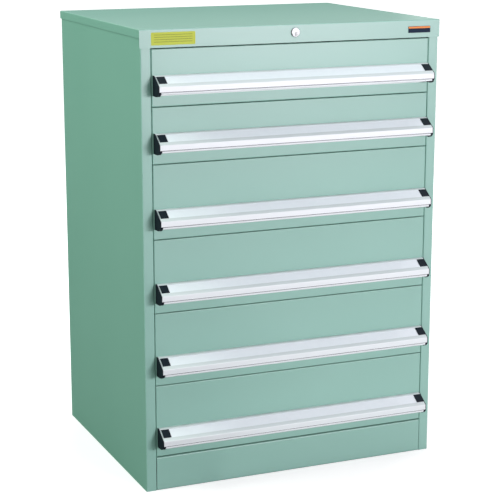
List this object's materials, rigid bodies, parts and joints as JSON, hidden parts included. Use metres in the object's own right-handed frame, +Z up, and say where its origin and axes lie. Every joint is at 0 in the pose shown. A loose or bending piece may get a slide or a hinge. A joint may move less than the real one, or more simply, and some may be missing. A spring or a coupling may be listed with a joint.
{
  "type": "industrial drawer cabinet",
  "caption": "Floor-standing sheet-steel drawer cabinet with full-width grip rails on its drawers, telescopic runners and one lock in the top fascia.",
  "frame": {"origin": "middle of the whole object's footprint, on the floor", "axes": "+Z up, the drawers open towards -Y, +X to the right of someone facing the drawers"},
  "size_m": [0.871, 0.7484, 1.246],
  "materials": {
    "paint": "satin powder coat, pale grey-green",
    "zinc_steel": "bright zinc plated",
    "aluminium": "natural anodised, fine satin",
    "black_plastic": "moulded, fine satin",
    "label_plastic": "clear cover over a blank pale label",
    "lock_chrome": "polished chrome plate"
  },
  "bodies": {
    "carcass": {"right_side_panel": "paint", "left_side_panel": "paint", "back_panel": "paint", "plinth": "paint", "kick_plate": "paint", "top_front_rail": "paint", "top_cap": "paint", "right_runner_frame": "zinc_steel", "left_runner_frame": "zinc_steel", "lock_housing": "lock_chrome"},
    "lock_plug": {"lock_plug": "lock_chrome"},
    "lock_bar": {"lock_bar": "zinc_steel"},
    "drawer_1": {"drawer_front_1": "paint", "drawer_tray_1": "paint", "grip_rail_1": "aluminium", "grip_cap_right_1": "black_plastic", "grip_cap_left_1": "black_plastic", "label_strip_1": "label_plastic"},
    "middle_rails_1": {"middle_rail_right_1": "zinc_steel", "middle_rail_left_1": "zinc_steel"},
    "drawer_2": {"drawer_front_2": "paint", "drawer_tray_2": "paint", "grip_rail_2": "aluminium", "grip_cap_right_2": "black_plastic", "grip_cap_left_2": "black_plastic", "label_strip_2": "label_plastic"},
    "middle_rails_2": {"middle_rail_right_2": "zinc_steel", "middle_rail_left_2": "zinc_steel"},
    "drawer_3": {"drawer_front_3": "paint", "drawer_tray_3": "paint", "grip_rail_3": "aluminium", "grip_cap_right_3": "black_plastic", "grip_cap_left_3": "black_plastic", "label_strip_3": "label_plastic"},
    "middle_rails_3": {"middle_rail_right_3": "zinc_steel", "middle_rail_left_3": "zinc_steel"},
    "drawer_4": {"drawer_front_4": "paint", "drawer_tray_4": "paint", "grip_rail_4": "aluminium", "grip_cap_right_4": "black_plastic", "grip_cap_left_4": "black_plastic", "label_strip_4": "label_plastic"},
    "middle_rails_4": {"middle_rail_right_4": "zinc_steel", "middle_rail_left_4": "zinc_steel"},
    "drawer_5": {"drawer_front_5": "paint", "drawer_tray_5": "paint", "grip_rail_5": "aluminium", "grip_cap_right_5": "black_plastic", "grip_cap_left_5": "black_plastic", "label_strip_5": "label_plastic"},
    "middle_rails_5": {"middle_rail_right_5": "zinc_steel", "middle_rail_left_5": "zinc_steel"},
    "drawer_6": {"drawer_front_6": "paint", "drawer_tray_6": "paint", "grip_rail_6": "aluminium", "grip_cap_right_6": "black_plastic", "grip_cap_left_6": "black_plastic", "label_strip_6": "label_plastic"},
    "middle_rails_6": {"middle_rail_right_6": "zinc_steel", "middle_rail_left_6": "zinc_steel"}
  },
  "joints": [
    {"name": "drawer_1_slide", "type": "slide", "parent": "carcass", "child": "drawer_1", "axis": [0, -1, 0], "range_m": [0, 0.6]},
    {"name": "middle_rails_1_slide", "type": "slide", "parent": "carcass", "child": "middle_rails_1", "axis": [0, -1, 0], "range_m": [0, 0.3]},
    {"name": "drawer_2_slide", "type": "slide", "parent": "carcass", "child": "drawer_2", "axis": [0, -1, 0], "range_m": [0, 0.6]},
    {"name": "middle_rails_2_slide", "type": "slide", "parent": "carcass", "child": "middle_rails_2", "axis": [0, -1, 0], "range_m": [0, 0.3]},
    {"name": "drawer_3_slide", "type": "slide", "parent": "carcass", "child": "drawer_3", "axis": [0, -1, 0], "range_m": [0, 0.6]},
    {"name": "middle_rails_3_slide", "type": "slide", "parent": "carcass", "child": "middle_rails_3", "axis": [0, -1, 0], "range_m": [0, 0.3]},
    {"name": "drawer_4_slide", "type": "slide", "parent": "carcass", "child": "drawer_4", "axis": [0, -1, 0], "range_m": [0, 0.6]},
    {"name": "middle_rails_4_slide", "type": "slide", "parent": "carcass", "child": "middle_rails_4", "axis": [0, -1, 0], "range_m": [0, 0.3]},
    {"name": "drawer_5_slide", "type": "slide", "parent": "carcass", "child": "drawer_5", "axis": [0, -1, 0], "range_m": [0, 0.6]},
    {"name": "middle_rails_5_slide", "type": "slide", "parent": "carcass", "child": "middle_rails_5", "axis": [0, -1, 0], "range_m": [0, 0.3]},
    {"name": "drawer_6_slide", "type": "slide", "parent": "carcass", "child": "drawer_6", "axis": [0, -1, 0], "range_m": [0, 0.6]},
    {"name": "middle_rails_6_slide", "type": "slide", "parent": "carcass", "child": "middle_rails_6", "axis": [0, -1, 0], "range_m": [0, 0.3]},
    {"name": "lock_plug_turn", "type": "hinge", "parent": "carcass", "child": "lock_plug", "pos_m": [0, -0.32835, 1.2202], "axis": [0, -1, 0], "range_deg": [0, 90]},
    {"name": "lock_bar_slide", "type": "slide", "parent": "carcass", "child": "lock_bar", "axis": [0, 0, 1], "range_m": [0, 0.0127]}
  ],
  "couplings": [
    {"joint": "middle_rails_1_slide", "follows": "drawer_1_slide", "ratio": 0.5},
    {"joint": "middle_rails_2_slide", "follows": "drawer_2_slide", "ratio": 0.5},
    {"joint": "middle_rails_3_slide", "follows": "drawer_3_slide", "ratio": 0.5},
    {"joint": "middle_rails_4_slide", "follows": "drawer_4_slide", "ratio": 0.5},
    {"joint": "middle_rails_5_slide", "follows": "drawer_5_slide", "ratio": 0.5},
    {"joint": "middle_rails_6_slide", "follows": "drawer_6_slide", "ratio": 0.5},
    {"joint": "lock_plug_turn", "follows": "lock_bar_slide", "rad_per_m": 123.68}
  ]
}
